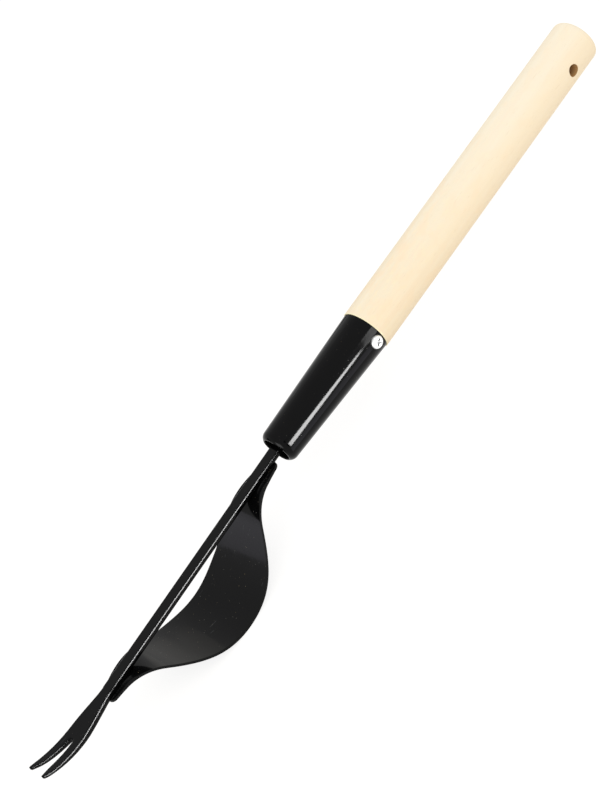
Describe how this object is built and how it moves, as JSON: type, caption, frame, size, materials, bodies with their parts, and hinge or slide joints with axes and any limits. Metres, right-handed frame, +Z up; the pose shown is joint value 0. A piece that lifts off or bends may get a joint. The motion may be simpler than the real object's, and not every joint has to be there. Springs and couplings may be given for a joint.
{
  "type": "hand weeder",
  "caption": "Hand weeder: wood handle in a tapered black steel socket, flat steel shank ending in a notched, upturned fork, and a bowed sheet-steel fulcrum plate under the shank.",
  "frame": {"origin": "bottom centre of the bounding box, with the tool level and its fulcrum plate down", "axes": "+X along the handle axis towards the handle's end, +Y across the tool along the hanging hole, +Z up, away from the bowed plate"},
  "size_m": [0.4606, 0.0432, 0.0453],
  "materials": {
    "handle_wood": "smooth pale unvarnished hardwood",
    "black_paint": "gloss black enamel on steel",
    "screw_zinc": "bright zinc plate"
  },
  "bodies": {
    "root": {"wood_handle": "handle_wood", "ferrule": "black_paint", "ferrule_screw": "screw_zinc", "ferrule_weld": "black_paint", "fork_shank": "black_paint", "fulcrum_plate": "black_paint", "plate_plug_welds": "black_paint"}
  },
  "joints": []
}
